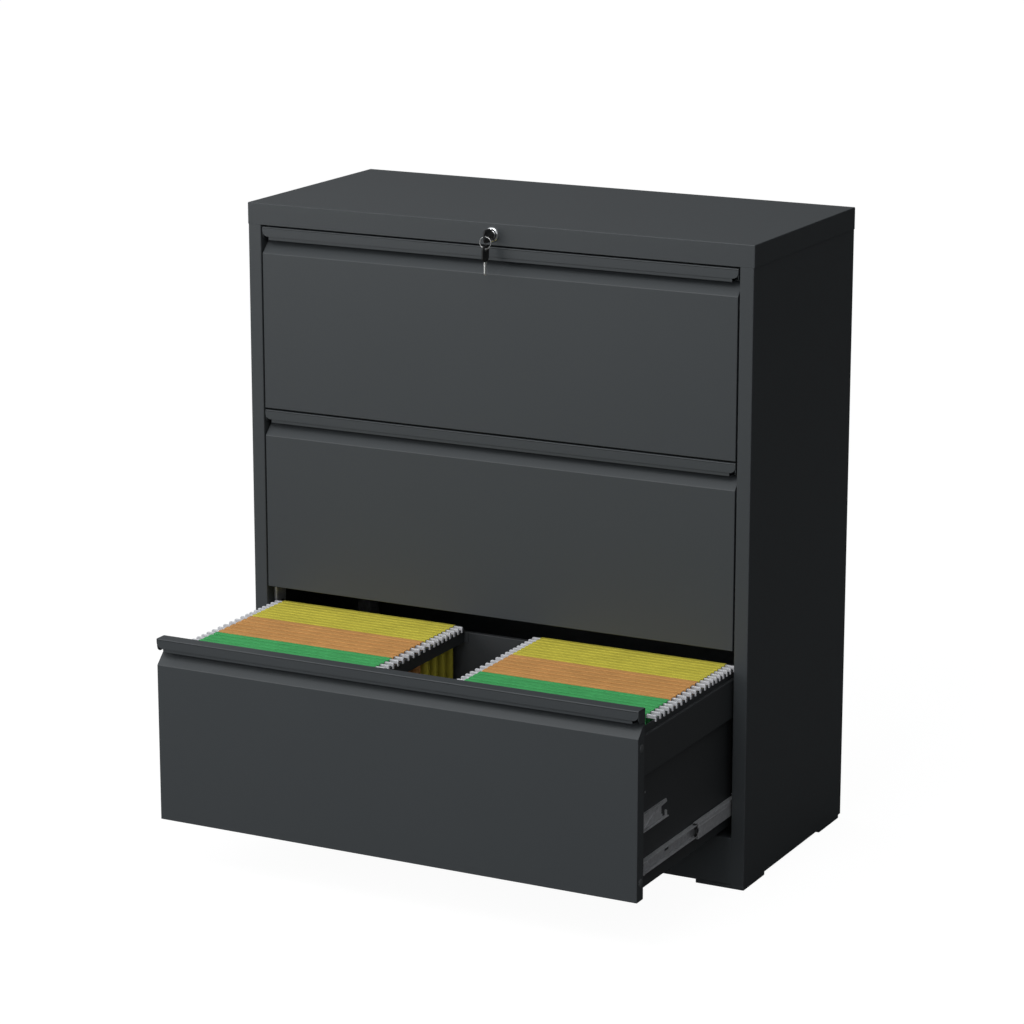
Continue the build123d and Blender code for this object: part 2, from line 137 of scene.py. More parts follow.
def folded_sheet(
    line: Sequence[Point],
    axis: Axis,
    low: float,
    high: float,
    bend: float = 1.5,
    thickness: float = SHEET,
    segments: int = 3,
) -> BMesh:
    """Folds a sheet along a line of section points.

    Args:
        line: The outer surface of the sheet, as section points. The thickness goes to its right.
        axis: The direction of the folds.
        low: Where the sheet starts along the axis.
        high: Where it ends.
        bend: The outside radius of each fold.
        thickness: The sheet's thickness.
        segments: How many facets each fold has.

    Returns:
        A closed shell with rounded folds.
    """
    bm = bmesh.new()
    verts = [bm.verts.new(axis.at(a, b, low)) for a, b in line]
    for pair in zip(verts, verts[1:]):
        bm.edges.new(pair)
    if bend > 0 and len(verts) > 2:
        round_off(bm, verts[1:-1], bend, segments, "VERTICES")
    made = bmesh.ops.extrude_edge_only(bm, edges=bm.edges[:])
    bmesh.ops.translate(bm, verts=new_verts(made), vec=axis.at(0, 0, high - low))
    bmesh.ops.recalc_face_normals(bm, faces=bm.faces[:])
    (a0, b0), (a1, b1) = line[0], line[1]
    outward = axis.at(b0 - b1, a1 - a0, 0)
    middle = axis.at((a0 + a1) / 2, (b0 + b1) / 2, (low + high) / 2)
    first = min(bm.faces, key=lambda face: (face.calc_center_median() - middle).length)
    if first.normal.dot(outward) < 0:
        bmesh.ops.reverse_faces(bm, faces=bm.faces[:])
    bmesh.ops.solidify(bm, geom=bm.faces[:], thickness=thickness)
    return bm


def prism(
    outline: Sequence[Point],
    axis: Axis,
    low: float,
    high: float,
    rounding: dict[int, float] | float = 0.0,
    segments: int = 4,
) -> BMesh:
    """Pushes a closed outline along an axis.

    Args:
        outline: The section points, in order.
        axis: The direction to push in.
        low: Where the shape starts along the axis.
        high: Where it ends.
        rounding: One radius for all corners, or a radius for some of them by their number.
        segments: How many facets each rounded corner has.

    Returns:
        A closed solid.
    """
    bm = bmesh.new()
    verts = [bm.verts.new(axis.at(a, b, low)) for a, b in outline]
    bm.faces.new(verts)
    radii = rounding if isinstance(rounding, dict) else {i: rounding for i in range(len(verts))}
    for number, radius in radii.items():
        if radius > 0:
            round_off(bm, [verts[number]], radius, segments, "VERTICES")
    made = bmesh.ops.extrude_face_region(bm, geom=bm.faces[:])
    bmesh.ops.translate(bm, verts=new_verts(made), vec=axis.at(0, 0, high - low))
    bmesh.ops.recalc_face_normals(bm, faces=bm.faces[:])
    return bm


def block(low: Corner, high: Corner) -> BMesh:
    """A box between two corners."""
    bm = bmesh.new()
    size = Vector(high) - Vector(low)
    made = bmesh.ops.create_cube(bm, size=1.0)
    bmesh.ops.scale(bm, verts=made["verts"], vec=size)
    bmesh.ops.translate(bm, verts=made["verts"], vec=Vector(low) + size / 2)
    return bm


def rod(
    radius: float, axis: Axis, low: float, high: float, centre: Point, segments: int = 32
) -> BMesh:
    """A round bar along an axis, about a section point."""
    bm = bmesh.new()
    made = bmesh.ops.create_cone(
        bm,
        cap_ends=True,
        cap_tris=False,
        segments=segments,
        radius1=radius,
        radius2=radius,
        depth=high - low,
    )
    bmesh.ops.rotate(bm, verts=made["verts"], cent=(0, 0, 0), matrix=axis.turn())
    bmesh.ops.translate(bm, verts=made["verts"], vec=axis.at(*centre, (low + high) / 2))
    return bm


def turned(profile: Sequence[Point], axis: Axis, centre: Point, steps: int = 40) -> BMesh:
    """Turns a profile about an axis, as on a lathe.

    Args:
        profile: Points of (radius, place along the axis). It may close on itself, or start and end on
            the axis.
        axis: The axis to turn about.
        centre: Where the axis stands, in section coordinates.
        steps: How many facets the full turn has.

    Returns:
        A closed solid of revolution.
    """
    bm = bmesh.new()
    verts = [bm.verts.new(axis.at(centre[0] + r, centre[1], along)) for r, along in profile]
    edges = [bm.edges.new(pair) for pair in zip(verts, verts[1:])]
    if profile[0][0] > 0:
        edges.append(bm.edges.new((verts[-1], verts[0])))
    bmesh.ops.spin(
        bm,
        geom=verts + edges,
        cent=axis.at(*centre, 0),
        axis=axis.at(0, 0, 1),
        angle=2 * math.pi,
        steps=steps,
        use_merge=True,
        use_duplicate=False,
    )
    bmesh.ops.remove_doubles(bm, verts=bm.verts[:], dist=1e-4)
    bmesh.ops.recalc_face_normals(bm, faces=bm.faces[:])
    return bm


def join(parts: Iterable[BMesh]) -> BMesh:
    """Puts several shapes into one mesh, as separate shells."""
    whole = bmesh.new()
    for part in parts:
        scrap = bpy.data.meshes.new("scrap")
        part.to_mesh(scrap)
        part.free()
        whole.from_mesh(scrap)
        bpy.data.meshes.remove(scrap)
    return whole


def copy_at(shape: BMesh, offset: Corner) -> BMesh:
    """A copy of a shape, moved."""
    twin = shape.copy()
    bmesh.ops.translate(twin, verts=twin.verts[:], vec=offset)
    return twin


def mirrored(shape: BMesh, side: Side) -> BMesh:
    """The shape itself for the right-hand side, or its mirror image for the left."""
    if side is Side.LEFT:
        bmesh.ops.scale(shape, verts=shape.verts[:], vec=(-1, 1, 1))
        bmesh.ops.reverse_faces(shape, faces=shape.faces[:])
    return shape


def both_sides(shape: BMesh) -> BMesh:
    """The shape with its mirror image on the left-hand side."""
    return join([mirrored(shape.copy(), Side.LEFT), shape])


def cut(shape: BMesh, tools: Iterable[BMesh]) -> BMesh:
    """Takes the tools' volume out of a shape.

    Args:
        shape: The shape to cut. It is used up.
        tools: Closed shapes that don't touch one another. They are used up.

    Returns:
        The shape that is left.
    """
    pair = []
    for name, bm in (("blank", shape), ("tool", join(tools))):
        mesh = bpy.data.meshes.new(name)
        bm.to_mesh(mesh)
        bm.free()
        obj = bpy.data.objects.new(name, mesh)
        bpy.context.scene.collection.objects.link(obj)
        pair.append(obj)
    blank, tool = pair
    modifier = blank.modifiers.new("cut", "BOOLEAN")
    modifier.operation = "DIFFERENCE"
    modifier.solver = "EXACT"
    modifier.object = tool
    left = bpy.data.meshes.new_from_object(blank.evaluated_get(bpy.context.evaluated_depsgraph_get()))
    bm = bmesh.new()
    bm.from_mesh(left)
    for obj in pair:
        mesh = obj.data
        bpy.data.objects.remove(obj)
        bpy.data.meshes.remove(mesh)
    bpy.data.meshes.remove(left)
    return bm


def soften_edges(shape: BMesh, radius: float, segments: int = 2) -> BMesh:
    """Rounds every edge of a shape that turns sharply."""
    sharp = [e for e in shape.edges if e.is_manifold and e.calc_face_angle() > SOFTENED_ANGLE]
    round_off(shape, sharp, radius, segments, clamp=True)
    return shape


def tray_shell(low: Corner, high: Corner, open_side: int, bend: float) -> BMesh:
    """A folded box with no top or no bottom.

    Args:
        low: Its lowest corner.
        high: Its highest corner.
        open_side: 1 to leave out its top, or -1 its bottom.
        bend: The outside radius of its folds.

    Returns:
        The box, with walls as thick as the sheet.
    """
    box = block(low, high)
    bmesh.ops.delete(box, geom=[f for f in box.faces if f.normal.z * open_side > 0.5], context="FACES")
    round_off(box, [e for e in box.edges if len(e.link_faces) == 2], bend, 3)
    bmesh.ops.solidify(box, geom=box.faces[:], thickness=SHEET)
    return box


# --- Finishes ---


def set_range(node: bpy.types.Node, values: Sequence[float]) -> None:
    """Sets a Map Range node's limits: from, from, to, to."""
    for name, value in zip(("From Min", "From Max", "To Min", "To Max"), values):
        node.inputs[name].default_value = value


class Recipe:
    """The node tree of one finish, with every pattern read from Object coordinates."""

    def __init__(self, name: str) -> None:
        """Starts a material that has only its shader."""
        self.material = bpy.data.materials.new(name)
        self.material.use_nodes = True
        self.tree = self.material.node_tree
        self.shader = self.tree.nodes["Principled BSDF"]
        self.place = self.tree.nodes.new("ShaderNodeTexCoord").outputs["Object"]

    def wire(self, source: Socket | float | Sequence[float], target: Socket) -> None:
        """Links a socket to a target, or sets the target to a constant."""
        if isinstance(source, Socket):
            self.tree.links.new(source, target)
        else:
            target.default_value = source

    def set(self, **values: float | Sequence[float]) -> None:
        """Sets constants on the shader's own sockets, with _ for a space in a name."""
        for name, value in values.items():
            self.shader.inputs[name.replace("_", " ")].default_value = value

    def stretched(self, stretch: Corner) -> Socket:
        """Object coordinates, scaled by axis."""
        mapping = self.tree.nodes.new("ShaderNodeMapping")
        self.wire(self.place, mapping.inputs["Vector"])
        mapping.inputs["Scale"].default_value = stretch
        return mapping.outputs["Vector"]

    def noise(self, grain: float, detail: float = 2.0, stretch: Corner | None = None) -> Socket:
        """A cloudy pattern.

        Args:
            grain: The size of its features, in millimetres.
            detail: How many finer octaves it has.
            stretch: How much it is squeezed along each axis, if at all.

        Returns:
            A factor about 0.5.
        """
        node = self.tree.nodes.new("ShaderNodeTexNoise")
        self.wire(self.stretched(stretch) if stretch else self.place, node.inputs["Vector"])
        node.inputs["Scale"].default_value = 1.0 / (grain * MM)
        node.inputs["Detail"].default_value = detail
        return node.outputs["Fac"]

    def cells(self, grain: float, feature: str = "F1") -> Socket:
        """A pattern of cells: a random shade for each, or the distance from its middle."""
        node = self.tree.nodes.new("ShaderNodeTexVoronoi")
        node.feature = feature
        self.wire(self.place, node.inputs["Vector"])
        node.inputs["Scale"].default_value = 1.0 / (grain * MM)
        return node.outputs["Distance"]

    def spread(
        self, factor: Socket, low: float, high: float, dark: float = 0.3, light: float = 0.7
    ) -> Socket:
        """Maps a pattern from its dark and light ends to two numbers."""
        node = self.tree.nodes.new("ShaderNodeMapRange")
        self.wire(factor, node.inputs["Value"])
        set_range(node, (dark, light, low, high))
        return node.outputs["Result"]

    def tint(self, factor: Socket, first: Socket | Colour, second: Socket | Colour) -> Socket:
        """Mixes two colours by a factor."""
        node = self.tree.nodes.new("ShaderNodeMix")
        node.data_type = "RGBA"
        self.wire(factor, node.inputs[0])
        for source, target in ((first, node.inputs[6]), (second, node.inputs[7])):
            self.wire((*source, 1.0) if isinstance(source, tuple) else source, target)
        return node.outputs[2]

    def shades(self, pattern: Socket, colour: Colour, dark: float, light: float) -> Socket:
        """Runs a colour from a darker to a lighter shade with a pattern."""
        return self.tint(self.spread(pattern, 0.0, 1.0), scaled(colour, dark), scaled(colour, light))

    def bump(
        self, height: Socket, depth: float, strength: float = 1.0, under: Socket | None = None
    ) -> Socket:
        """Relief from a pattern, depth millimetres deep, laid over any other relief."""
        node = self.tree.nodes.new("ShaderNodeBump")
        node.inputs["Distance"].default_value = depth * MM
        node.inputs["Strength"].default_value = strength
        self.wire(height, node.inputs["Height"])
        if under is not None:
            self.wire(under, node.inputs["Normal"])
        return node.outputs["Normal"]

    def finish(self, colour: Socket, roughness: Socket, normal: Socket) -> bpy.types.Material:
        """Wires the three patterns to the shader and hands over the material."""
        self.wire(colour, self.shader.inputs["Base Color"])
        self.wire(roughness, self.shader.inputs["Roughness"])
        self.wire(normal, self.shader.inputs["Normal"])
        return self.material


def scaled(colour: Colour, by: float) -> Colour:
    """A colour made lighter or darker."""
    return tuple(min(1.0, channel * by) for channel in colour)


@dataclass(frozen=True)
class Finish:
    """A finish that makes its material once and hands it out again."""

    name: str
    slot: str
    colour: Colour
    roughness: float

    def material(self) -> bpy.types.Material:
        """The finish as a material, made the first time that it is asked for."""
        return bpy.data.materials.get(self.name) or self.make()

    def make(self) -> bpy.types.Material:
        """Builds the node tree. Each kind of finish has its own."""
        raise NotImplementedError


@dataclass(frozen=True)
class PowderCoat(Finish):
    """Fine-textured baked powder on steel: soft speckle, orange peel and faint cloudiness."""

    speckle: float = 0.7
    peel: float = 3.2

    def make(self) -> bpy.types.Material:
        """Builds the powder coat's node tree."""
        recipe = Recipe(self.name)
        recipe.set(IOR=1.5, Specular_IOR_Level=0.5)
        fine = recipe.noise(self.speckle, 3.0)
        peel = recipe.noise(self.peel, 1.5)
        cloud = recipe.noise(160.0, 2.0)
        base = recipe.shades(cloud, self.colour, 0.93, 1.07)
        grains = recipe.spread(recipe.cells(self.speckle * 1.6), 0.0, 0.25, 0.0, 0.22)
        colour = recipe.tint(grains, scaled(self.colour, 1.5), base)
        roughness = recipe.spread(fine, self.roughness - 0.07, self.roughness + 0.07)
        normal = recipe.bump(fine, 0.05, 0.35, recipe.bump(peel, 0.12, 0.18))
        return recipe.finish(colour, roughness, normal)


@dataclass(frozen=True)
class ZincPlate(Finish):
    """Zinc-plated sheet: dull crystals, a rolled grain along the piece and small scuffs."""

    crystal: float = 5.0

    def make(self) -> bpy.types.Material:
        """Builds the plated sheet's node tree."""
        recipe = Recipe(self.name)
        recipe.set(Metallic=0.5)
        spangle = recipe.cells(self.crystal, "SMOOTH_F1")
        grain = recipe.noise(1.4, 3.0, (1.0, 0.04, 1.0))
        scuff = recipe.noise(9.0, 5.0)
        base = recipe.tint(spangle, scaled(self.colour, 0.82), scaled(self.colour, 1.12))
        colour = recipe.tint(recipe.spread(scuff, 0.0, 0.5, 0.45, 0.75), base, scaled(self.colour, 0.66))
        roughness = recipe.spread(grain, self.roughness - 0.08, self.roughness + 0.12)
        normal = recipe.bump(grain, 0.02, 0.4, recipe.bump(spangle, 0.03, 0.2))
        return recipe.finish(colour, roughness, normal)


@dataclass(frozen=True)
class Plating(Finish):
    """Bright nickel or chrome with hairline scratches and a faint haze of handling."""

    scratch: float = 0.6
    metal: float = 1.0

    def make(self) -> bpy.types.Material:
        """Builds the bright plating's node tree."""
        recipe = Recipe(self.name)
        recipe.set(Metallic=self.metal)
        hair = recipe.noise(self.scratch, 4.0, (1.0, 6.0, 0.3))
        haze = recipe.noise(5.0, 3.0)
        colour = recipe.shades(haze, self.colour, 0.9, 1.05)
        roughness = recipe.spread(hair, self.roughness * 0.6, self.roughness * 1.8)
        normal = recipe.bump(hair, 0.01, 0.25)
        return recipe.finish(colour, roughness, normal)


@dataclass(frozen=True)
class MouldedPlastic(Finish):
    """Moulded plastic with a spark-eroded grain."""

    grain: float = 0.35

    def make(self) -> bpy.types.Material:
        """Builds the plastic's node tree."""
        recipe = Recipe(self.name)
        recipe.set(IOR=1.46)
        spark = recipe.noise(self.grain, 4.0)
        wear = recipe.noise(4.0, 3.0)
        colour = recipe.shades(wear, self.colour, 0.85, 1.3)
        roughness = recipe.spread(spark, self.roughness - 0.1, self.roughness + 0.1)
        normal = recipe.bump(spark, 0.06, 0.5)
        return recipe.finish(colour, roughness, normal)


@dataclass(frozen=True)
class FolderCard(Finish):
    """Dyed folder card: long fibres, small flecks and uneven dye."""

    fibre: float = 1.2

    def make(self) -> bpy.types.Material:
        """Builds the card's node tree."""
        recipe = Recipe(self.name)
        recipe.set(IOR=1.4, Specular_IOR_Level=0.25)
        fibres = recipe.noise(self.fibre, 5.0, (0.25, 1.0, 1.0))
        dye = recipe.noise(38.0, 3.0)
        flecks = recipe.spread(recipe.cells(2.6), 0.35, 0.0, 0.0, 0.16)
        base = recipe.shades(dye, self.colour, 0.9, 1.06)
        grained = recipe.tint(recipe.spread(fibres, 0.0, 0.3), base, scaled(self.colour, 0.84))
        colour = recipe.tint(flecks, grained, scaled(self.colour, 1.25))
        roughness = recipe.spread(fibres, self.roughness - 0.06, self.roughness + 0.06)
        normal = recipe.bump(fibres, 0.05, 0.35)
        return recipe.finish(colour, roughness, normal)


CHARCOAL = PowderCoat("charcoal_powder_coat", "powder_coat", (0.034, 0.038, 0.041), 0.50)
# The same charcoal powder coat as the outside, painted darker: painted shade for the sheets inside the
# cabinet and the drawers.
SHADED_INNER_CHARCOAL = PowderCoat("inner_powder_coat_painted_shade", "powder_coat", (0.026, 0.028, 0.030), 0.55)
ZINC = ZincPlate("zinc_plate", "galvanised_steel", (0.66, 0.66, 0.68), 0.42)
SCREW_ZINC = ZincPlate("screw_zinc", "zinc_screw", (0.42, 0.42, 0.43), 0.35, 2.0)
CHROME = Plating("bright_chrome", "bright_chrome", (0.66, 0.67, 0.69), 0.22)
NICKEL = Plating("nickel_plate", "nickel", (0.86, 0.86, 0.84), 0.34, metal=0.75)
HOOK_PLATE = Plating("hook_plating", "nickel", (0.80, 0.80, 0.83), 0.45, metal=0.35)
BLACK_PLASTIC = MouldedPlastic("black_plastic", "black_plastic", (0.013, 0.013, 0.014), 0.45)
GREY_PLASTIC = MouldedPlastic("grey_plastic", "grey_plastic", (0.26, 0.265, 0.27), 0.5)
RETAINER_PLASTIC = MouldedPlastic("retainer_plastic", "black_plastic", (0.02, 0.02, 0.021), 0.55)


class CardColour(Enum):
    """The dyes of the folders, from the front of the drawer to its back."""

    GREEN = FolderCard("green_card", "folder_card", (0.072, 0.42, 0.132), 0.85)
    ORANGE = FolderCard("orange_card", "folder_card", (0.65, 0.325, 0.108), 0.85)
    YELLOW = FolderCard("yellow_card", "folder_card", (0.64, 0.565, 0.072), 0.85)


def lay_down(
    name: str,
    shape: BMesh,
    finish: Finish,
    body: str,
    origin: Sequence[float] = (0, 0, 0),
    stands_for: Sequence[str] = (),
    soften: float = 0.2,
) -> bpy.types.Object:
    """Makes a shape a finished piece of the cabinet.

    Args:
        name: The piece's name.
        shape: The shape, in millimetres. It is used up.
        finish: What it is finished in.
        body: The body that it moves with.
        origin: The origin of the shape's own frame, in metres.
        stands_for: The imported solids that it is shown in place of.
        soften: The radius of its cut edges, in millimetres, or 0 to leave them.

    Returns:
        The piece.
    """
    place = Matrix.Translation(Vector(origin)) @ Matrix.Scale(MM, 4)
    bmesh.ops.transform(shape, matrix=place, verts=shape.verts[:])
    mesh = bpy.data.meshes.new(name)
    shape.to_mesh(mesh)
    shape.free()
    mesh.materials.append(finish.material())
    mesh.shade_smooth()
    mesh.set_sharp_from_angle(angle=SHARP_ANGLE)
    piece = bpy.data.objects.new(name, mesh)
    bpy.context.scene.collection.objects.link(piece)
    if soften > 0:
        bevel = piece.modifiers.new("cut_edges", "BEVEL")
        bevel.width = soften * MM
        bevel.segments = 2
        bevel.limit_method = "ANGLE"
        bevel.angle_limit = SOFTENED_ANGLE
    normals = piece.modifiers.new("flat_panels", "WEIGHTED_NORMAL")
    normals.keep_sharp = True
    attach(piece, body)
    if stands_for:
        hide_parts(*stands_for)
    LOG.info("%s: %d faces, on %s", name, len(mesh.polygons), body)
    return piece


# --- Cabinet ---


@dataclass
class Carcass:
    """The fixed shell of the cabinet, in folded steel. Sizes are in millimetres."""

    width: float = 900.0
    height: float = 1038.0
    flange: float = 35.6
    stile: float = 23.5
    stile_return: float = 22.0
    foot_height: float = 6.0
    foot_length: float = 84.0
    plinth_top: float = 85.0
    bend: float = 1.5
    lock_hole: float = 9.6
    lock_level: float = 1019.5
    post_mount: float = 424.2
    post_top: float = 998.4
    post_insets: Point = (28.0, 62.0)  # from the cabinet's face and from its back
    post_depth: float = 30.0
    post_slot_levels: Sequence[int] = range(110, 980, 61)
    screw_low: float = 110.0
    screw_pitch: float = 172.0
    screw_inset: float = 8.0
    body: str = "cabinet"

    def __post_init__(self) -> None:
        """Reads the panels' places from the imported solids."""
        low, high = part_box("top_panel")
        self.face = low.y / MM
        self.back = high.y / MM
        self.side_face = self.width / 2 - SHEET
        self.opening = self.side_face - self.stile
        self.flange_low = self.height - self.flange

    def build(self) -> None:
        """Builds every panel of the shell and the floor sheet, feet, posts and screws that go with it."""
        self.top_cap()
        for side in Side:
            self.side_panel(side)
        self.back_sheet()
        self.plinth()
        self.floor_pan()
        self.feet()
        self.posts()
        self.back_screws()

    def top_cap(self) -> None:
        """The top, turned down all round with rounded corners, and the hem of its front flange."""
        half = self.width / 2
        cap = tray_shell((-half, self.face, self.flange_low), (half, self.back, self.height), -1, self.bend)
        cap = cut(cap, [rod(self.lock_hole, Axis.Y, self.face - 3, self.face + 3, (0, self.lock_level))])
        low = self.flange_low
        hem = block((-self.opening, self.face + 0.4, low), (self.opening, self.face + 12, low + SHEET))
        lay_down("top_cap", join([cap, hem]), CHARCOAL, self.body, stands_for=["top_panel"])

    def side_panel(self, side: Side) -> None:
        """One side with its front stile and rear return, and the strip of it under the top's flange."""
        rear = self.back - 2 * SHEET
        plan = [
            (self.side_face - 16, rear),
            (self.side_face, rear),
            (self.side_face, self.face),
            (self.opening, self.face),
            (self.opening, self.face + self.stile_return),
        ]
        panel = folded_sheet(plan, Axis.Z, self.foot_height, self.flange_low - 0.1, self.bend)
        low = self.flange_low - 0.1
        inner = self.side_face - SHEET
        hidden = block((inner, self.face + 3, low), (self.side_face, rear, self.height - 2))
        shape = mirrored(join([panel, hidden]), side)
        name = f"side_panel_{side.word}"
        lay_down(f"{name}_skin", shape, CHARCOAL, self.body, stands_for=[name], soften=0.15)

    def back_sheet(self) -> None:
        """The back sheet, set just inside the top's rear flange."""
        sheet = block(
            (-self.side_face, self.back - 2 * SHEET, self.foot_height),
            (self.side_face, self.back - SHEET, self.height - 2),
        )
        lay_down("back_sheet", sheet, CHARCOAL, self.body, stands_for=["back_panel"], soften=0.3)

    def plinth(self) -> None:
        """The rail below the bottom drawer."""
        profile = [
            (self.face + 15, self.foot_height),
            (self.face, self.foot_height),
            (self.face, self.plinth_top),
            (self.face + 20, self.plinth_top),
        ]
        reach = self.opening + 0.8
        rail = folded_sheet(profile, Axis.X, -reach, reach, self.bend)
        lay_down("plinth", rail, CHARCOAL, self.body, stands_for=["base_rail"])

    def floor_pan(self) -> None:
        """The sheet under the bottom drawer, turned down at the back."""
        rear = self.back - 3 * SHEET
        top = self.plinth_top - SHEET
        inner = self.side_face - SHEET - 0.2
        front = self.face + self.stile_return
        wide = folded_sheet([(front, top), (rear, top), (rear, top - 30)], Axis.X, -inner, inner, self.bend)
        narrow = block((-self.opening, self.face + SHEET, top - SHEET), (self.opening, front + 1, top))
        lay_down("floor_sheet", join([wide, narrow]), SHADED_INNER_CHARCOAL, self.body, stands_for=["floor_pan"])

    def feet(self) -> None:
        """Four shallow pressed feet."""
        low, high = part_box("corner_feet")
        pressed = []
        for near in (low.y / MM, high.y / MM - self.foot_length):
            corner = (self.side_face - self.foot_length, near, 0)
            far = (self.side_face, near + self.foot_length, self.foot_height)
            pressed.append(both_sides(tray_shell(corner, far, 1, 1.2)))
        lay_down("feet", join(pressed), CHARCOAL, self.body, stands_for=["corner_feet"], soften=0.15)

    def posts(self) -> None:
        """Slotted upright channels that carry the slides."""
        inner = self.side_face - SHEET
        mount = self.post_mount
        made = []
        near, far = self.post_insets
        for y in (self.face + near, self.back - far):
            rear = y + self.post_depth
            line = [(inner, rear), (mount, rear), (mount, y), (inner, y)]
            post = folded_sheet(line, Axis.Z, self.plinth_top - SHEET, self.post_top, 2.0)
            slots = [
                block((mount - 3, y + 8, z), (mount + 3, rear - 8, z + 5)) for z in self.post_slot_levels
            ]
            made.append(both_sides(cut(post, slots)))
        lay_down("slotted_posts", join(made), ZINC, self.body, stands_for=["slide_posts"])

    def back_screws(self) -> None:
        """Round-head screws with a cross slot, six down each side of the back."""
        face = self.back - SHEET
        head = [(0, 0.8), (1.6, 0.75), (3.0, 0.55), (3.8, 0.2), (4.0, -0.3), (0, -0.3)]
        screw = turned([(r, face + along) for r, along in head], Axis.Y, (0, 0), 24)
        cross = [
            block((-2.1, face + 0.25, -0.4), (2.1, face + 2, 0.4)),
            block((-0.4, face + 0.25, -2.1), (0.4, face + 2, 2.1)),
        ]
        for tool in cross:
            screw = cut(screw, [tool])
        out = self.side_face - self.screw_inset
        rows = [self.screw_low + i * self.screw_pitch for i in range(6)]
        screws = join(copy_at(screw, (x, 0, z)) for x in (-out, out) for z in rows)
        lay_down("back_screws", screws, SCREW_ZINC, self.body, stands_for=["cabinet_screws"], soften=0)


# --- Drawers ---


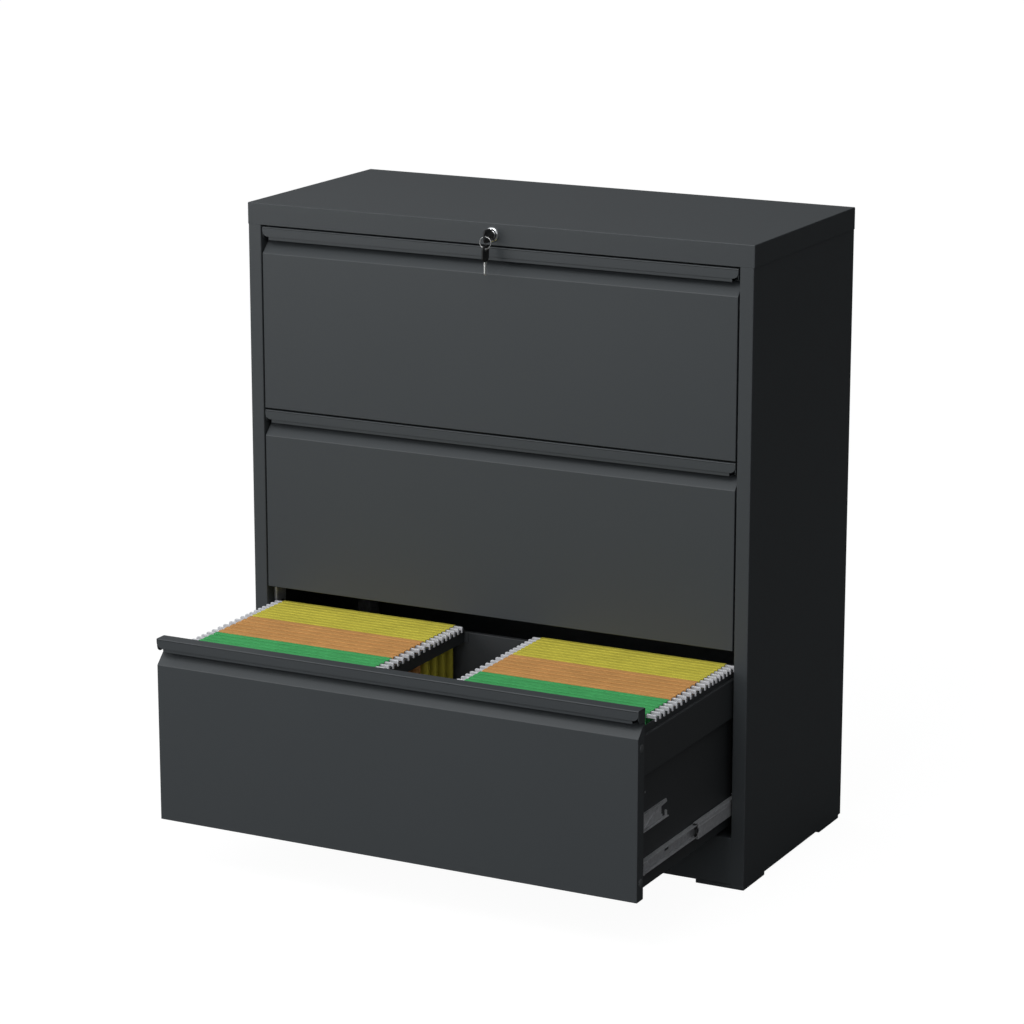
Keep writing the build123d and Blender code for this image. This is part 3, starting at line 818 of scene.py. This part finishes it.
@dataclass
class Drawer:
    """One drawer, in its own frame. Sizes are in millimetres."""

    name: str
    half: float = 423.0
    depth: float = 22.0
    ridge: float = 258.3
    recess: float = 20.0
    top: float = 301.8
    lip_height: float = 15.8
    lip_hem: float = 6.0
    lip_depth: float = 23.5
    lip_round: float = 10.0
    hem_half: float = 412.0
    web: float = 411.5
    upper: float = 422.0
    joggle: float = 187.0
    side_top: float = 257.0
    rail: float = 417.5
    rail_top: float = 270.0
    body_back: float = 370.0
    back_top: float = 265.0
    inner_rail: float = 67.0
    inner_rail_height: float = 22.0

    def __post_init__(self) -> None:
        """Reads where the drawer stands from its packed front."""
        low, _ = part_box(f"{self.name}_drawer_front")
        self.origin = Vector((0, low.y, low.z))
        self.body = f"{self.name}_drawer"

    def lay(
        self,
        name: str,
        shape: BMesh,
        finish: Finish,
        stands_for: Sequence[str] = (),
        soften: float = 0.2,
    ) -> bpy.types.Object:
        """Lays a piece down in this drawer's frame, riding on the drawer."""
        nodes = [f"{self.name}_{node}" for node in stands_for]
        return lay_down(f"{self.name}_{name}", shape, finish, self.body, self.origin, nodes, soften)

    def build(self) -> None:
        """Builds every piece of the drawer that is fixed to it."""
        self.front()
        self.liner()
        self.tray()
        for side in Side:
            self.side_wall(side)
        self.inner_rails()
        self.catch()
        self.plugs()

    def front(self) -> None:
        """The front: a flat pan under a sloped recess, and the box-shaped lip with its hem."""
        self.lay("front_pan", self.pan(), CHARCOAL, ["drawer_front"], 0.0)
        self.lay("front_lip", self.lip(), CHARCOAL, soften=0.25)

    def pan(self) -> BMesh:
        """The flat face with its returns and the slope above it, with every fold rounded."""
        behind = self.depth - 0.6
        top = self.ridge + self.recess
        outline = [(behind, 0), (0, 0), (0, self.ridge), (self.recess, top), (behind, top)]
        shape = prism(outline, Axis.X, -self.half, self.half)
        folds = []
        for edge in shape.edges:
            points = [vert.co for vert in edge.verts]
            if all(p.y < behind - 0.1 for p in points):
                folds.append(edge)
            elif all(p.z < 0.1 for p in points) and any(p.y < 0.1 for p in points):
                folds.append(edge)
        round_off(shape, folds, 1.4, 4, clamp=True)
        return shape

    def lip(self) -> BMesh:
        """The lip: a face with rounded lower corners, a folded top, an inset hem and closed ends."""
        low = self.top - self.lip_height
        inner = self.half - SHEET
        high = self.top - 1.6
        face = [(-self.half, low), (self.half, low), (self.half, high), (-self.half, high)]
        plate = prism(face, Axis.Y, 0, 1.2, {0: self.lip_round, 1: self.lip_round}, 8)
        back = self.lip_depth
        top = folded_sheet(
            [(0, self.top - 2.2), (0, self.top), (back, self.top), (back, self.back_top + 6)],
            Axis.X,
            -self.half,
            self.half,
            1.6,
            1.2,
            4,
        )
        hem_low = low - self.lip_hem
        strip = [(self.depth - 1.5, hem_low), (1.5, hem_low), (1.5, low + 1)]
        hem = folded_sheet(strip, Axis.X, -self.hem_half, self.hem_half, 1.0)
        end = [
            (1.2, self.top - 0.6),
            (self.lip_depth - 0.6, self.top - 0.6),
            (self.lip_depth - 0.6, hem_low),
            (1.2, hem_low),
        ]
        ends = [prism(end, Axis.X, x, x + SHEET, {3: self.lip_round}, 8) for x in (-self.half, inner)]
        return join([plate, top, hem, *ends])

    def liner(self) -> None:
        """The inner sheet that closes the front from behind."""
        edge = self.half - 1.2
        sheet = block((-edge, self.depth - 0.5, SHEET), (edge, self.depth + 0.5, self.back_top + 11))
        self.lay("front_liner", sheet, SHADED_INNER_CHARCOAL, ["drawer_liner"])

    def tray(self) -> None:
        """The floor and the back in one folded sheet, with wings that meet the upper sides."""
        half = self.web - SHEET - 0.2
        front = self.lip_depth
        back = self.body_back
        line = [(front, 10), (back, 10), (back, self.back_top), (back + 8, self.back_top)]
        sheet = folded_sheet(line, Axis.X, -half, half, 1.2)
        wings = [
            block((x, back, self.joggle + 8), (x + 11.2, back + SHEET, self.side_top - 1))
            for x in (-self.upper + 0.3, self.upper - 11.5)
        ]
        self.lay("tray", join([sheet, *wings]), SHADED_INNER_CHARCOAL, ["drawer_tray"])

    def side_wall(self, side: Side) -> None:
        """One side: foot flange, web, joggle, upper web, ledge and the rail that folders hang on."""
        line = [
            (self.rail, self.rail_top),
            (self.rail, self.side_top),
            (self.upper, self.side_top),
            (self.upper, self.joggle + 7),
            (self.web, self.joggle),
            (self.web, 8),
            (self.web - 15, 8),
        ]
        wall = folded_sheet(line, Axis.Y, self.lip_depth, self.body_back, 1.2)
        node = f"drawer_side_{side.word}"
        self.lay(f"side_wall_{side.word}", mirrored(wall, side), SHADED_INNER_CHARCOAL, [node])
        profile = [(0, 1.3), (0.9, 1.2), (1.6, 0.7), (1.75, 0), (1.6, -0.6), (0, -0.6)]
        profile = [(r, self.web + along) for r, along in profile]
        heads = join(turned(profile, Axis.X, centre, 16) for centre in ((49, 28), (330, 28), (49, 160)))
        self.lay(f"side_rivets_{side.word}", mirrored(heads, side), SCREW_ZINC, soften=0)

    def inner_rails(self) -> None:
        """The two bars across the drawer that carry the folders' inner hooks."""
        low = self.rail_top - self.inner_rail_height
        bars = []
        for x in (-self.inner_rail, self.inner_rail):
            line = [
                (x - 0.75, self.lip_depth), (x + 0.75, self.lip_depth),
                (x + 0.75, self.body_back), (x - 0.75, self.body_back),
            ]
            bars.append(prism(line, Axis.Z, low, self.rail_top))
            for y in (self.lip_depth, self.body_back - 1.5):
                bars.append(block((x - 8, y, low), (x + 8, y + 1.5, self.rail_top - 6)))
        self.lay("inner_rails", join(bars), SHADED_INNER_CHARCOAL, ["hanging_bars"])

    def catch(self) -> None:
        """The plated fork on the right-hand side, with a pressed rib and turned-out edges."""
        half, web_end, tip, start = 14.25, 106.0, 127.0, 30.0
        outline = [
            (start, -half), (tip, -half), (tip, -6), (tip - 3, -4), (tip - 6, -4), (tip - 6, -12),
            (web_end + 4, -12), (web_end + 4, -6.5), (web_end, -6.5), (web_end, 6.5), (tip, 8.5),
            (tip - 3, half), (start, half),
        ]
        plate = prism(outline, Axis.X, self.web, self.web + 1.5, {0: 4.0, 12: 4.0, 10: 1.0, 2: 0.8})
        out = self.web + 5
        rib = prism([(46, -10), (52, -10), (92, 9), (86, 9)], Axis.X, self.web + 1, self.web + 3, 0.8)
        web = self.web
        upper = [(web, half - 4), (web, half), (out, half)]
        lower = [(out, -half), (web, -half), (web, 2.2 - half)]
        runs = ((upper, web_end), (lower, tip - 1))
        edges = [folded_sheet(line, Axis.Y, start + 4, end, 1.5, 1.5) for line, end in runs]
        rivets = [
            turned([(0, out - 2.6), (1.5, out - 2.8), (2.4, out - 3.5), (0, out - 3.6)], Axis.X, centre, 16)
            for centre in ((41, 5), (98, 0))
        ]
        shape = join([plate, rib, *edges, *rivets])
        bmesh.ops.translate(shape, verts=shape.verts[:], vec=(0, 0, 114))
        self.lay("catch_plate", shape, ZINC, ["lock_catch"], 0.25)

    def plugs(self) -> None:
        """Domed plugs over the screws in the ends of the front."""
        dome = [(0, 1.2), (3.4, 1.1), (5.4, 0.85), (6.3, 0.45), (6.5, 0), (6.5, -1), (0, -1)]
        made = []
        for z in (29.0, 241.0):
            plug = turned([(r, self.half + along) for r, along in dome], Axis.X, (self.depth / 2 + 1, z), 28)
            made.append(both_sides(plug))
        self.lay("end_plugs", join(made), GREY_PLASTIC, ["front_plugs"], 0)


@dataclass
class TelescopicSlide:
    """The ball-bearing slides of one drawer, on both of its sides. Sizes are in millimetres."""

    drawer: Drawer
    level: float = 45.0
    start: float = 25.0
    middle_start: float = 52.0
    end: float = 375.0
    thick: float = 12.7
    outer_half: float = 17.5
    middle_half: float = 13.2
    inner_half: float = 10.5
    ball: float = 1.5

    def __post_init__(self) -> None:
        """Works out where the three members stand."""
        name = self.drawer.name
        web = self.drawer.web
        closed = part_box("top_panel")[0].y
        self.web_inner = web
        self.web_middle = web + self.thick - 2.0
        self.web_outer = web + self.thick
        self.place_inner = self.drawer.origin
        self.place_outer = Vector((0, closed, self.drawer.origin.z))
        middle_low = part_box(f"{name}_slide_middle_right")[0].y
        self.place_middle = Vector((0, middle_low - self.middle_start * MM, self.drawer.origin.z))

    def channel(self, web: float, lip: float, half: float, start: float, curl: float) -> BMesh:
        """A rolled channel whose flanges curl in to hold the balls.

        Args:
            web: The outside of the web, across the slide.
            lip: The outside of the flanges' curled edges.
            half: Half the channel's height.
            start: Where it starts.
            curl: How far the edges turn in.

        Returns:
            The channel along Y, at the slide's level.
        """
        way = 1 if lip > web else -1
        race = lip - way * 4.2
        lower = [
            (lip, curl - half), (lip, -half), (race + way * 1.2, -half), (race, -half + 0.7),
            (race - way * 1.2, -half), (web, -half),
        ]
        line = lower + [(a, -b) for a, b in reversed(lower)]
        if way < 0:
            line.reverse()
        shape = folded_sheet(line, Axis.Y, start, self.end, 0.5, SHEET, 2)
        bmesh.ops.translate(shape, verts=shape.verts[:], vec=(0, 0, self.level))
        return shape

    def slot(self, web: float, y: float, long: float, high: float) -> BMesh:
        """A tool for a round-ended slot through a web."""
        line = [(y, -high), (y + long, -high), (y + long, high), (y, high)]
        tool = prism(line, Axis.X, web - 4, web + 4, high * 0.95, 5)
        bmesh.ops.translate(tool, verts=tool.verts[:], vec=(0, 0, self.level))
        return tool

    def heads(self, web: float, places: Sequence[float]) -> list[BMesh]:
        """Low screw heads on a web, facing outwards."""
        profile = [(0, 1.6), (1.9, 1.5), (3.2, 1.0), (3.6, 0.3), (3.6, -0.4), (0, -0.4)]
        profile = [(r, web + along) for r, along in profile]
        return [turned(profile, Axis.X, (y, self.level), 20) for y in places]

    def lay(
        self, name: str, shape: BMesh, finish: Finish, body: str, origin: Vector, node: str, soften: float
    ) -> None:
        """Lays a piece of the slides down, with the drawer's name put before its own and its node's."""
        nodes = [f"{self.drawer.name}_slide_{node}"] if node else []
        lay_down(f"{self.drawer.name}_{name}", shape, finish, body, origin, nodes, soften)

    def build(self) -> None:
        """Builds the three members of both slides."""
        self.inner_members()
        self.outer_members()
        for side in Side:
            self.middle_member(side)

    def inner_members(self) -> None:
        """The members on the drawer's sides, with a release slot near the front."""
        web = self.web_inner
        shape = self.channel(web, web + 8.5, self.inner_half, self.start, 2.0)
        slots = [self.slot(web, 41, 5, 4.2), self.slot(web, 120, 16, 2.4), self.slot(web, 280, 16, 2.4)]
        shape = join([cut(shape, slots), *self.heads(web + SHEET, (60, 200, 345))])
        both = both_sides(shape)
        self.lay("inner_members", both, ZINC, self.drawer.body, self.place_inner, "inners", 0.15)

    def outer_members(self) -> None:
        """The members screwed to the posts."""
        web = self.web_outer
        shape = self.channel(web, self.drawer.web + 2.2, self.outer_half, self.start, 2.0)
        shape = cut(shape, [self.slot(web, y, 18, 2.6) for y in (60, 180, 300)])
        both = both_sides(shape)
        self.lay("outer_members", both, ZINC, "cabinet", self.place_outer, "outers", 0.15)

    def middle_member(self, side: Side) -> None:
        """The travelling member, with a pressed bead, a stepped end, and its balls in their retainers."""
        web = self.web_middle
        body = f"{self.drawer.name}_slide_{side.word}"
        first = self.middle_start
        shape = self.channel(web, self.drawer.web + 1.8, self.middle_half, first, 1.6)
        wedge = [(first - 1, -1.5), (first + 5, -1.5), (first + 2.5, 5), (first - 1, 5)]
        notch = prism(wedge, Axis.X, web - 3, web + 3)
        bmesh.ops.translate(notch, verts=notch.verts[:], vec=(0, 0, self.level))
        shape = cut(shape, [notch, self.slot(web, 200, 14, 2.6), self.slot(web, 330, 14, 2.6)])
        bead_level = self.level + 6.5
        bead = rod(1.3, Axis.Y, first + 6, first + 130, (web - 0.7, bead_level), 16)
        shape = join([soften_edges(shape, 0.15, 1), soften_edges(bead, 0.5)])
        name = f"middle_member_{side.word}"
        node = f"middle_{side.word}"
        self.lay(name, mirrored(shape, side), ZINC, body, self.place_middle, node, 0)
        self.retainers(side, body)

    def retainers(self, side: Side, body: str) -> None:
        """Dark strips that space the balls, with fingers at the front, and the balls themselves."""
        first = self.middle_start - 6
        strips = []
        balls = []
        lip = self.drawer.web + 3.2
        for sign in (-1, 1):
            z = self.level + sign * 11.35
            strips.append(block((lip, first, z - 0.35), (lip + 5.2, first + 190, z + 0.35)))
            finger = z - sign * 5
            strips.append(block((lip + 4.2, first, finger - 2), (lip + 5.2, first + 7, finger + 2)))
            for i in range(12):
                ball = bmesh.new()
                bmesh.ops.create_uvsphere(ball, u_segments=10, v_segments=6, radius=self.ball)
                balls.append(copy_at(ball, (lip + 2.4, first + 8 + i * 14.5, z)))
                ball.free()
        strips.append(block((lip + 4.2, first + 1, self.level - 9), (lip + 5.2, first + 4, self.level + 9)))
        for name, made, finish, soften in (
            ("retainer", strips, RETAINER_PLASTIC, 0.2),
            ("balls", balls, NICKEL, 0),
        ):
            shape = mirrored(join(made), side)
            self.lay(f"{name}_{side.word}", shape, finish, body, self.place_middle, "", soften)


# --- Folders ---


@dataclass
class HangingFolders:
    """A row of hanging folders between an inner rail and an outer rail. Sizes are in millimetres."""

    drawer: Drawer
    side: Side
    runs: tuple = ((CardColour.GREEN, 3, 30.0), (CardColour.ORANGE, 3, 35.2), (CardColour.YELLOW, 4, 27.0))
    first: float = 62.4
    card_start: float = 79.5
    card_end: float = 404.5
    hook_start: float = 64.0
    hook_end: float = 420.2
    top: float = 277.0
    bottom: float = 42.0
    card: float = 0.5
    seed: int = 7

    def build(self) -> None:
        """Builds the cards of each colour and all the rods."""
        rods = []
        y = self.first
        stands_for = [f"folders_{self.side.word}"]
        draw = random.Random(self.seed + self.side.value)
        for colour, count, spacing in self.runs:
            cards = []
            for _ in range(count):
                for place in (-1, 1):
                    lean = draw.uniform(-0.5, 0.5)
                    at = y + spacing / 2 + place * spacing / 4 + lean
                    cards.append(self.leaf(at, y + spacing / 2, spacing, place))
                    rods.append(self.hanger(at))
                y += spacing
            shape = mirrored(join(cards), self.side)
            name = f"{colour.name.lower()}_cards_{self.side.word}"
            lay_down(name, shape, colour.value, self.drawer.body, self.drawer.origin, stands_for, 0)
            stands_for = []
        shape = mirrored(join(rods), self.side)
        lay_down(
            f"folder_rods_{self.side.word}", shape, HOOK_PLATE, self.drawer.body, self.drawer.origin,
            soften=0.35,
        )

    def leaf(self, at: float, middle: float, spacing: float, place: int) -> BMesh:
        """One leaf of a folder: card wrapped over its rod, hanging down to the fold at the bottom.

        Args:
            at: Where its rod is, along the drawer.
            middle: Where the folder's bottom fold is.
            spacing: How much of the drawer the folder takes.
            place: -1 for the front leaf and 1 for the back one.

        Returns:
            The leaf.
        """
        wide = spacing * 0.18
        foot = middle + place * 1.5
        outer = at + place * wide
        inner = at - place * wide
        top = self.top
        line = [(outer, top - 16), (outer, top), (inner, top), (inner, top - 9), (foot, self.bottom)]
        if place > 0:
            line.reverse()
        return folded_sheet(line, Axis.X, self.card_start, self.card_end, 0.9, self.card)

    def hanger(self, at: float) -> BMesh:
        """A flat rod with a hook at each end that sits over a rail."""
        low, foot, high = 270.5, 266.5, 276.3
        outline = [
            (self.hook_start, foot), (self.hook_start + 2.2, foot), (self.hook_start + 2.2, low),
            (self.hook_end - 2.2, low), (self.hook_end - 2.2, foot), (self.hook_end, foot),
            (self.hook_end, high), (self.hook_start, high),
        ]
        return prism(outline, Axis.Y, at - 1.9, at + 1.9, {6: 1.8, 7: 1.8}, 3)


# --- Lock and keys ---


@dataclass
class CamLock:
    """The barrel with its bezel, and the plug that the key turns. Sizes are in millimetres."""

    face: float
    level: float = 1019.5
    bezel: float = 12.0
    barrel: float = 9.5
    length: float = 18.0
    plug: float = 6.5

    def build(self) -> None:
        """Builds the lock's visible pieces: the barrel with its bezel, and the face of the plug."""
        centre = (0, self.level)
        face = self.face
        bore = self.plug + 0.05
        profile = [
            (bore, face + self.length), (bore, face - 2.8), (self.plug + 0.5, face - 3.3),
            (8.6, face - 3.5), (10.2, face - 3.2), (11.4, face - 2.2), (self.bezel, face - 0.9),
            (self.bezel, face - 0.02), (self.barrel, face - 0.02), (self.barrel, face + self.length),
        ]
        barrel = turned(profile, Axis.Y, centre, 56)
        lay_down("lock_barrel", barrel, CHROME, "cabinet", stands_for=["lock_housing"], soften=0)
        end = face + self.length - 0.5
        section = [(0, face - 3.1), (5.7, face - 3.1), (self.plug, face - 2.6), (self.plug, end), (0, end)]
        plug = turned(section, Axis.Y, centre, 40)
        plug = cut(plug, [block((-1.25, face - 6, self.level - 3.5), (1.25, face + 16, self.level + 3.5))])
        lay_down("lock_plug_face", plug, CHROME, "lock_cylinder", stands_for=["lock_plug"], soften=0.1)


@dataclass(frozen=True)
class Key:
    """A key with a moulded bow, hanging or pushed in, built upright with its blade down."""

    bow: float = 12.5
    half_thick: float = 1.25
    hole: float = 3.4
    hole_offset: float = 7.0
    blade_half: float = 3.3
    blade_thick: float = 1.9
    cuts: tuple = (1.2, 2.2, 0.8, 1.8, 1.0)

    def bow_shape(self) -> BMesh:
        """The bow, a rounded square with a dished grip on each face and the hole for the ring."""
        t = self.half_thick
        r = self.bow
        wide = r - 1.8
        outline = [(-wide, 0), (wide, 0), (wide, 2 * r), (-wide, 2 * r)]
        slab = soften_edges(prism(outline, Axis.X, -t, t, 7.0, 6), 0.4)
        grip = [(-7.5, 4), (7.5, 4), (7.5, 13), (-7.5, 13)]
        dishes = [prism(grip, Axis.X, x - 0.35, x + 0.35, 3.0, 4) for x in (-t, t)]
        hole = rod(self.hole, Axis.X, -5, 5, (0, r + self.hole_offset), 24)
        neck = block((-t - 0.3, -5.4, -0.6), (t + 0.3, 5.4, 3.2))
        return join([cut(slab, [*dishes, hole]), soften_edges(neck, 0.5)])

    def blade_shape(self, length: float) -> BMesh:
        """The blade with its cuts down one edge and a milled groove on each face."""
        half = self.blade_half
        line = [(-half, 3), (-half, 2.5 - length), (-1, -length), (0.6, -length)]
        step = (length - 6) / len(self.cuts)
        for number, depth in enumerate(reversed(self.cuts)):
            z = -length + 2.5 + number * step
            line += [(half - depth, z), (half - depth, z + step * 0.35), (half - 0.3, z + step * 0.75)]
        line += [(half, -3), (half, 3)]
        blade = prism(line, Axis.X, -self.blade_thick / 2, self.blade_thick / 2)
        grooves = [block((x, -1.6, 1 - length), (x + 1.0, -0.5, 4)) for x in (0.45, -1.45)]
        return cut(blade, grooves)


@dataclass
class KeySet:
    """The key in the lock, the split ring and the spare key that hangs from it."""

    face: float
    level: float = 1019.5
    ring: float = 9.5
    wire: float = 0.38
    key: Key = Key()

    def __post_init__(self) -> None:
        """Works out where the ring passes through the bow."""
        self.hole_y = self.face - 4.0 - self.key.bow - self.key.hole_offset

    def build(self) -> None:
        """Builds both keys and the ring."""
        key = self.key
        into_lock = Matrix.Translation((0, self.face - 4, self.level)) @ Matrix.Rotation(math.pi / 2, 4, "X")
        down = self.level - 0.6 - 2 * self.ring - key.bow - key.hole_offset
        hanging = Matrix.Translation((0, self.hole_y, down))
        for name, place, length, body, nodes in (
            ("key", into_lock, 20.0, "key", ["key_bow", "key_blade"]),
            ("spare_key", hanging, 22.0, "key_ring", []),
        ):
            bow = key.bow_shape()
            blade = key.blade_shape(length)
            for shape in (bow, blade):
                bmesh.ops.transform(shape, matrix=place, verts=shape.verts[:])
            lay_down(f"{name}_grip", bow, BLACK_PLASTIC, body, stands_for=nodes[:1], soften=0.15)
            lay_down(f"{name}_bit", blade, NICKEL, body, stands_for=nodes[1:], soften=0.12)
        lay_down("split_ring", self.split_ring(), NICKEL, "key_ring", stands_for=["key_ring"], soften=0)

    def split_ring(self) -> BMesh:
        """Two close turns of round wire."""
        bm = bmesh.new()
        made = bmesh.ops.create_circle(bm, cap_ends=True, segments=8, radius=self.wire)
        centre = Vector((0, self.hole_y - self.wire, self.level - 0.3 - self.ring))
        start = centre + Vector((self.ring + 0.15, 0, 0))
        bmesh.ops.translate(bm, verts=made["verts"], vec=start)
        bmesh.ops.spin(
            bm,
            geom=bm.verts[:] + bm.edges[:] + bm.faces[:],
            cent=centre,
            axis=(0, 1, 0),
            dvec=(0, 2 * self.wire / 48, 0),
            angle=4 * math.pi,
            steps=96,
            use_merge=False,
            use_duplicate=False,
        )
        bmesh.ops.recalc_face_normals(bm, faces=bm.faces[:])
        return bm


def dress_plain_parts() -> None:
    """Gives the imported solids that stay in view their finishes."""
    finishes = {
        "lock_bar_guides": ZINC,
        "lock_nut": SCREW_ZINC,
        "lock_cam": ZINC,
        "link_bar": ZINC,
        "lock_bar": ZINC,
    }
    for node, finish in finishes.items():
        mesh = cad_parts[node].data
        mesh.materials.clear()
        mesh.materials.append(finish.material())
        LOG.info("%s: finished in %s", node, finish.name)


# --- Studio ---


@dataclass
class Studio:
    """A pale floor, soft light from above and the front left, and the camera."""

    camera_place: Corner = (2.5402, -4.8859, 1.9507)
    yaw: float = 27.296
    pitch: float = 14.155
    lens: float = 123.74
    floor: Colour = (0.80, 0.80, 0.80)
    bounce: float = 0.15  # how much of the floor's paleness the cabinet sees
    glow: float = 0.87  # how much of the floor's paleness needs no light
    paper_light: float = 1.1
    backdrop_light: float = 1.2
    sky_side: Corner = (-0.64, -0.68, 0.36)  # where the sky is brightest
    sky_light: float = 0.95
    sky_dark: float = 0.045

    def build(self) -> None:
        """Sets up the floor, the lights, the sky and the camera."""
        self.lay_floor()
        self.light_sky()
        self.hang_light("top_softbox", (0.1, -2.2, 2.9), (0.0, -0.2, 0.5), 1.2, 32.0)
        self.hang_light("key_softbox", (-1.7, -2.2, 1.35), (-0.1, -0.1, 0.75), 1.2, 12.5)
        self.set_camera()
        bpy.context.scene.view_settings.view_transform = "Standard"

    def lay_floor(self) -> None:
        """A wide floor that is near white to the eye and throws little light back at the cabinet."""
        bm = bmesh.new()
        bmesh.ops.create_grid(bm, x_segments=1, y_segments=1, size=60.0)
        mesh = bpy.data.meshes.new("floor")
        bm.to_mesh(mesh)
        bm.free()
        recipe = Recipe("pale_floor")
        cloud = recipe.noise(400.0, 2.0)
        colour = recipe.tint(cloud, self.floor, scaled(self.floor, 1.03))
        recipe.finish(colour, recipe.spread(cloud, 0.75, 0.85), recipe.bump(cloud, 0.1, 0.1))
        tree = recipe.tree
        paper = tree.nodes.new("ShaderNodeEmission")
        paper.inputs["Color"].default_value = (1.0, 1.0, 1.0, 1.0)
        paper.inputs["Strength"].default_value = self.paper_light
        seen = self.blend(tree, self.glow, recipe.shader.outputs[0], paper.outputs[0])
        dull = tree.nodes.new("ShaderNodeBsdfDiffuse")
        dull.inputs["Color"].default_value = (*scaled(self.floor, self.bounce), 1.0)
        path = tree.nodes.new("ShaderNodeLightPath")
        both = self.blend(tree, path.outputs["Is Camera Ray"], dull.outputs[0], seen)
        tree.links.new(both, tree.nodes["Material Output"].inputs["Surface"])
        mesh.materials.append(recipe.material)
        floor = bpy.data.objects.new("floor", mesh)
        bpy.context.scene.collection.objects.link(floor)

    @staticmethod
    def blend(
        tree: bpy.types.NodeTree, factor: Socket | float, first: Socket, second: Socket
    ) -> Socket:
        """Mixes two shaders by a factor."""
        mix = tree.nodes.new("ShaderNodeMixShader")
        if isinstance(factor, float):
            mix.inputs[0].default_value = factor
        else:
            tree.links.new(factor, mix.inputs[0])
        tree.links.new(first, mix.inputs[1])
        tree.links.new(second, mix.inputs[2])
        return mix.outputs[0]

    def light_sky(self) -> None:
        """A white backdrop that lights the cabinet from the upper left and leaves its right side dim."""
        world = bpy.data.worlds.new("studio")
        bpy.context.scene.world = world
        world.use_nodes = True
        tree = world.node_tree
        sky = tree.nodes["Background"]
        direction = tree.nodes.new("ShaderNodeTexCoord").outputs["Generated"]
        facing = tree.nodes.new("ShaderNodeVectorMath")
        facing.operation = "DOT_PRODUCT"
        tree.links.new(direction, facing.inputs[0])
        facing.inputs[1].default_value = Vector(self.sky_side).normalized()
        fade = tree.nodes.new("ShaderNodeMapRange")
        tree.links.new(facing.outputs["Value"], fade.inputs["Value"])
        set_range(fade, (-0.45, 0.95, self.sky_dark, self.sky_light))
        tree.links.new(fade.outputs["Result"], sky.inputs["Strength"])
        backdrop = tree.nodes.new("ShaderNodeBackground")
        path = tree.nodes.new("ShaderNodeLightPath")
        sky.inputs["Color"].default_value = (0.95, 0.98, 1.0, 1.0)
        backdrop.inputs["Color"].default_value = (1.0, 1.0, 1.0, 1.0)
        backdrop.inputs["Strength"].default_value = self.backdrop_light
        both = self.blend(tree, path.outputs["Is Camera Ray"], sky.outputs[0], backdrop.outputs[0])
        tree.links.new(both, tree.nodes["World Output"].inputs["Surface"])

    def hang_light(self, name: str, place: Corner, target: Corner, size: float, power: float) -> None:
        """Hangs a square soft light and turns it to a target.

        Args:
            name: The light's name.
            place: Where it hangs, in metres.
            target: What it faces.
            size: The length of its side.
            power: Its power in watts.
        """
        data = bpy.data.lights.new(name, "AREA")
        data.size = size
        data.energy = power
        light = bpy.data.objects.new(name, data)
        light.location = place
        light.rotation_euler = (Vector(target) - Vector(place)).to_track_quat("-Z", "Y").to_euler()
        bpy.context.scene.collection.objects.link(light)

    def set_camera(self) -> None:
        """Sets the camera at the front right, looking a little down."""
        data = bpy.data.cameras.new("camera")
        data.lens = self.lens
        camera = bpy.data.objects.new("camera", data)
        camera.location = self.camera_place
        camera.rotation_euler = (math.radians(90 - self.pitch), 0, math.radians(self.yaw))
        bpy.context.scene.collection.objects.link(camera)
        bpy.context.scene.camera = camera


def main() -> None:
    """Builds the studio, the cabinet, its drawers, its lock and its folders, in that order."""
    logging.basicConfig(level=logging.INFO, format="%(name)s: %(message)s")
    Studio().build()
    carcass = Carcass()
    carcass.build()
    drawers = [Drawer(name) for name in ("bottom", "middle", "top")]
    for drawer in drawers:
        drawer.build()
        TelescopicSlide(drawer).build()
    for side in Side:
        HangingFolders(drawers[0], side).build()
    CamLock(carcass.face).build()
    KeySet(carcass.face).build()
    dress_plain_parts()


if __name__ == "__main__":
    main()
